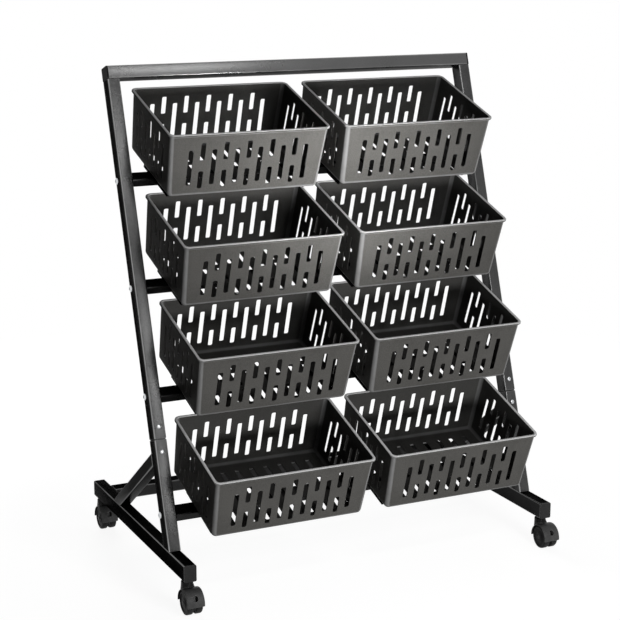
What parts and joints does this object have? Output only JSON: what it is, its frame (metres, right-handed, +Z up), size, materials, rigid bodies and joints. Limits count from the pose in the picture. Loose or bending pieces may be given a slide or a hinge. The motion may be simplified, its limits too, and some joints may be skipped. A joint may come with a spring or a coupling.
{
  "type": "fruit and vegetable rack",
  "caption": "Sloping market display rack: leaning tube frame on swivel casters, with slotted plastic lift-out baskets on stepped crossbars and a top bar",
  "frame": {"origin": "on the floor under the middle of the rack's bounding box", "axes": "+Z up; -Y towards the customer in front; +X to the right as seen from the front"},
  "size_m": [1.014, 0.699, 1.2227],
  "materials": {
    "frame_paint": "satin",
    "basket_plastic": "satin",
    "cap_plastic": "matt",
    "caster_plastic": "satin",
    "wheel_plastic": "matt",
    "zinc": "zinc plated, satin"
  },
  "bodies": {
    "frame": {"base_rail_left": "frame_paint", "rail_end_cap_front_left": "cap_plastic", "rail_end_cap_rear_left": "cap_plastic", "upright_lower_left": "frame_paint", "upright_upper_left": "frame_paint", "joint_sleeve_left": "frame_paint", "joint_bolt_lower_left": "zinc", "joint_bolt_upper_left": "zinc", "rear_brace_left": "frame_paint", "caster_stem_front_left": "zinc", "caster_stem_rear_left": "zinc", "base_rail_right": "frame_paint", "rail_end_cap_front_right": "cap_plastic", "rail_end_cap_rear_right": "cap_plastic", "upright_lower_right": "frame_paint", "upright_upper_right": "frame_paint", "joint_sleeve_right": "frame_paint", "joint_bolt_lower_right": "zinc", "joint_bolt_upper_right": "zinc", "rear_brace_right": "frame_paint", "caster_stem_front_right": "zinc", "caster_stem_rear_right": "zinc", "top_bar": "frame_paint", "top_bar_end_cap_left": "cap_plastic", "top_bar_end_cap_right": "cap_plastic", "rear_base_crossbar": "frame_paint", "shelf_crossbar_1": "frame_paint", "crossbar_bolt_1_left": "zinc", "crossbar_bolt_1_right": "zinc", "shelf_crossbar_2": "frame_paint", "crossbar_bolt_2_left": "zinc", "crossbar_bolt_2_right": "zinc", "shelf_crossbar_3": "frame_paint", "crossbar_bolt_3_left": "zinc", "crossbar_bolt_3_right": "zinc", "shelf_crossbar_4": "frame_paint", "crossbar_bolt_4_left": "zinc", "crossbar_bolt_4_right": "zinc"},
    "caster_housing_front_left": {"caster_housing_front_left": "caster_plastic"},
    "caster_wheel_front_left_left": {"caster_wheel_front_left_left": "wheel_plastic"},
    "caster_wheel_front_left_right": {"caster_wheel_front_left_right": "wheel_plastic"},
    "caster_housing_rear_left": {"caster_housing_rear_left": "caster_plastic"},
    "caster_wheel_rear_left_left": {"caster_wheel_rear_left_left": "wheel_plastic"},
    "caster_wheel_rear_left_right": {"caster_wheel_rear_left_right": "wheel_plastic"},
    "caster_housing_front_right": {"caster_housing_front_right": "caster_plastic"},
    "caster_wheel_front_right_left": {"caster_wheel_front_right_left": "wheel_plastic"},
    "caster_wheel_front_right_right": {"caster_wheel_front_right_right": "wheel_plastic"},
    "caster_housing_rear_right": {"caster_housing_rear_right": "caster_plastic"},
    "caster_wheel_rear_right_left": {"caster_wheel_rear_right_left": "wheel_plastic"},
    "caster_wheel_rear_right_right": {"caster_wheel_rear_right_right": "wheel_plastic"},
    "basket_1_left": {"basket_1_left": "basket_plastic"},
    "basket_1_right": {"basket_1_right": "basket_plastic"},
    "basket_2_left": {"basket_2_left": "basket_plastic"},
    "basket_2_right": {"basket_2_right": "basket_plastic"},
    "basket_3_left": {"basket_3_left": "basket_plastic"},
    "basket_3_right": {"basket_3_right": "basket_plastic"},
    "basket_4_left": {"basket_4_left": "basket_plastic"},
    "basket_4_right": {"basket_4_right": "basket_plastic"}
  },
  "joints": [
    {"name": "caster_swivel_front_left", "type": "hinge", "parent": "frame", "child": "caster_housing_front_left", "pos_m": [-0.485, -0.28881, 0.06], "axis": [0, 0, 1], "continuous": true},
    {"name": "wheel_roll_front_left_left", "type": "hinge", "parent": "caster_housing_front_left", "child": "caster_wheel_front_left_left", "pos_m": [-0.4965, -0.31481, 0.029], "axis": [1, 0, 0], "continuous": true},
    {"name": "wheel_roll_front_left_right", "type": "hinge", "parent": "caster_housing_front_left", "child": "caster_wheel_front_left_right", "pos_m": [-0.4735, -0.31481, 0.029], "axis": [1, 0, 0], "continuous": true},
    {"name": "caster_swivel_front_right", "type": "hinge", "parent": "frame", "child": "caster_housing_front_right", "pos_m": [0.485, -0.28881, 0.06], "axis": [0, 0, 1], "continuous": true},
    {"name": "wheel_roll_front_right_left", "type": "hinge", "parent": "caster_housing_front_right", "child": "caster_wheel_front_right_left", "pos_m": [0.4735, -0.31481, 0.029], "axis": [1, 0, 0], "continuous": true},
    {"name": "wheel_roll_front_right_right", "type": "hinge", "parent": "caster_housing_front_right", "child": "caster_wheel_front_right_right", "pos_m": [0.4965, -0.31481, 0.029], "axis": [1, 0, 0], "continuous": true},
    {"name": "caster_swivel_rear_left", "type": "hinge", "parent": "frame", "child": "caster_housing_rear_left", "pos_m": [-0.485, 0.32519, 0.06], "axis": [0, 0, 1], "continuous": true},
    {"name": "wheel_roll_rear_left_left", "type": "hinge", "parent": "caster_housing_rear_left", "child": "caster_wheel_rear_left_left", "pos_m": [-0.4965, 0.29919, 0.029], "axis": [1, 0, 0], "continuous": true},
    {"name": "wheel_roll_rear_left_right", "type": "hinge", "parent": "caster_housing_rear_left", "child": "caster_wheel_rear_left_right", "pos_m": [-0.4735, 0.29919, 0.029], "axis": [1, 0, 0], "continuous": true},
    {"name": "caster_swivel_rear_right", "type": "hinge", "parent": "frame", "child": "caster_housing_rear_right", "pos_m": [0.485, 0.32519, 0.06], "axis": [0, 0, 1], "continuous": true},
    {"name": "wheel_roll_rear_right_left", "type": "hinge", "parent": "caster_housing_rear_right", "child": "caster_wheel_rear_right_left", "pos_m": [0.4735, 0.29919, 0.029], "axis": [1, 0, 0], "continuous": true},
    {"name": "wheel_roll_rear_right_right", "type": "hinge", "parent": "caster_housing_rear_right", "child": "caster_wheel_rear_right_right", "pos_m": [0.4965, 0.29919, 0.029], "axis": [1, 0, 0], "continuous": true},
    {"name": "basket_lift_1_left", "type": "slide", "parent": "frame", "child": "basket_1_left", "axis": [0, -0.8499, 0.527], "range_m": [0, 0.35]},
    {"name": "basket_lift_1_right", "type": "slide", "parent": "frame", "child": "basket_1_right", "axis": [0, -0.8499, 0.527], "range_m": [0, 0.35]},
    {"name": "basket_lift_2_left", "type": "slide", "parent": "frame", "child": "basket_2_left", "axis": [0, -0.8499, 0.527], "range_m": [0, 0.03]},
    {"name": "basket_lift_2_right", "type": "slide", "parent": "frame", "child": "basket_2_right", "axis": [0, -0.8499, 0.527], "range_m": [0, 0.03]},
    {"name": "basket_lift_3_left", "type": "slide", "parent": "frame", "child": "basket_3_left", "axis": [0, -0.8499, 0.527], "range_m": [0, 0.03]},
    {"name": "basket_lift_3_right", "type": "slide", "parent": "frame", "child": "basket_3_right", "axis": [0, -0.8499, 0.527], "range_m": [0, 0.03]},
    {"name": "basket_lift_4_left", "type": "slide", "parent": "frame", "child": "basket_4_left", "axis": [0, -0.8499, 0.527], "range_m": [0, 0.03]},
    {"name": "basket_lift_4_right", "type": "slide", "parent": "frame", "child": "basket_4_right", "axis": [0, -0.8499, 0.527], "range_m": [0, 0.03]}
  ]
}
